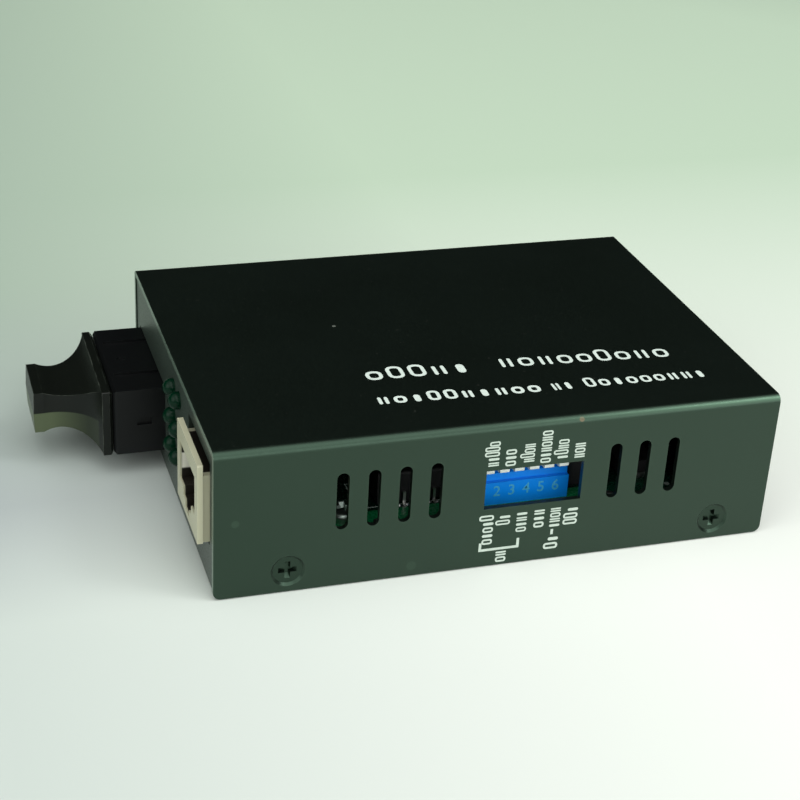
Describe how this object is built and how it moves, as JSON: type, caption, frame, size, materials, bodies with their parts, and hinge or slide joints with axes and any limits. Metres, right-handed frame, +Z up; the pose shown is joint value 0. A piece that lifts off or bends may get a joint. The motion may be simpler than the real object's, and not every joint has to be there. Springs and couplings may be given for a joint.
{
  "type": "fibre media converter",
  "caption": "Small flat steel box that joins a copper network socket to a twin fibre port with a waisted dust plug, with side mode switches, vents, status lights and a rear power socket.",
  "frame": {"origin": "middle of the case's underside, on the table", "axes": "+X along the case from the port end to the power end, -Y towards the side with the mode switches, +Z up"},
  "size_m": [0.1154, 0.07, 0.026],
  "materials": {
    "black_coat": "fine matte texture",
    "panel_grey": "satin",
    "black_screw": "satin",
    "plated_steel": "plated",
    "tinned": "bright",
    "gold_contact": "bright",
    "board_green": "satin",
    "jack_ivory": "satin",
    "housing_black": "satin",
    "plug_black": "soft satin",
    "sleeve_white": "glazed",
    "light_green": "clear gloss",
    "switch_blue": "satin",
    "lever_white": "satin",
    "chip_black": "matte",
    "can_metal": "satin",
    "crystal_metal": "satin",
    "ferrite": "matte",
    "tan_ceramic": "matte"
  },
  "bodies": {
    "chassis": {"top_cover": "black_coat", "base_tray": "panel_grey", "cover_screws": "black_screw", "board_standoffs": "plated_steel", "board_screws": "plated_steel", "main_board": "board_green", "network_jack": "jack_ivory", "jack_contacts": "gold_contact", "transceiver_housing": "housing_black", "ferrule_sleeves": "sleeve_white", "transceiver_pins": "tinned", "status_light_leads": "tinned", "switch_body": "switch_blue", "switch_terminals": "tinned", "isolation_transformer": "chip_black", "transformer_leads": "tinned", "converter_chip": "chip_black", "converter_chip_leads": "tinned", "crystal": "crystal_metal", "power_inductor": "ferrite", "voltage_regulator": "chip_black", "regulator_leads": "tinned", "power_jack": "housing_black", "power_jack_pin": "tinned", "power_jack_tabs": "tinned", "filter_capacitor_1": "can_metal", "filter_capacitor_2": "can_metal", "chip_resistors": "chip_black", "chip_capacitors": "tan_ceramic", "status_light_1": "light_green", "status_light_2": "light_green", "status_light_3": "light_green", "status_light_4": "light_green", "status_light_5": "light_green", "status_light_6": "light_green"},
    "dust_plug": {"dust_plug": "plug_black"},
    "switch_lever_1": {"switch_lever_1": "lever_white"},
    "switch_lever_2": {"switch_lever_2": "lever_white"},
    "switch_lever_3": {"switch_lever_3": "lever_white"},
    "switch_lever_4": {"switch_lever_4": "lever_white"},
    "switch_lever_5": {"switch_lever_5": "lever_white"},
    "switch_lever_6": {"switch_lever_6": "lever_white"}
  },
  "joints": [
    {"name": "dust_plug_pull", "type": "slide", "parent": "chassis", "child": "dust_plug", "axis": [-1, 0, 0], "range_m": [0, 0.018]},
    {"name": "switch_lever_1_tilt", "type": "hinge", "parent": "chassis", "child": "switch_lever_1", "pos_m": [-0.00185, -0.0242, 0.015], "axis": [1, 0, 0], "range_deg": [0, 16]},
    {"name": "switch_lever_2_tilt", "type": "hinge", "parent": "chassis", "child": "switch_lever_2", "pos_m": [0.00069, -0.0242, 0.015], "axis": [1, 0, 0], "range_deg": [0, 16]},
    {"name": "switch_lever_3_tilt", "type": "hinge", "parent": "chassis", "child": "switch_lever_3", "pos_m": [0.00323, -0.0242, 0.015], "axis": [1, 0, 0], "range_deg": [0, 16]},
    {"name": "switch_lever_4_tilt", "type": "hinge", "parent": "chassis", "child": "switch_lever_4", "pos_m": [0.00577, -0.0242, 0.015], "axis": [1, 0, 0], "range_deg": [0, 16]},
    {"name": "switch_lever_5_tilt", "type": "hinge", "parent": "chassis", "child": "switch_lever_5", "pos_m": [0.00831, -0.0242, 0.015], "axis": [1, 0, 0], "range_deg": [0, 16]},
    {"name": "switch_lever_6_tilt", "type": "hinge", "parent": "chassis", "child": "switch_lever_6", "pos_m": [0.01085, -0.0242, 0.015], "axis": [1, 0, 0], "range_deg": [0, 16]}
  ]
}
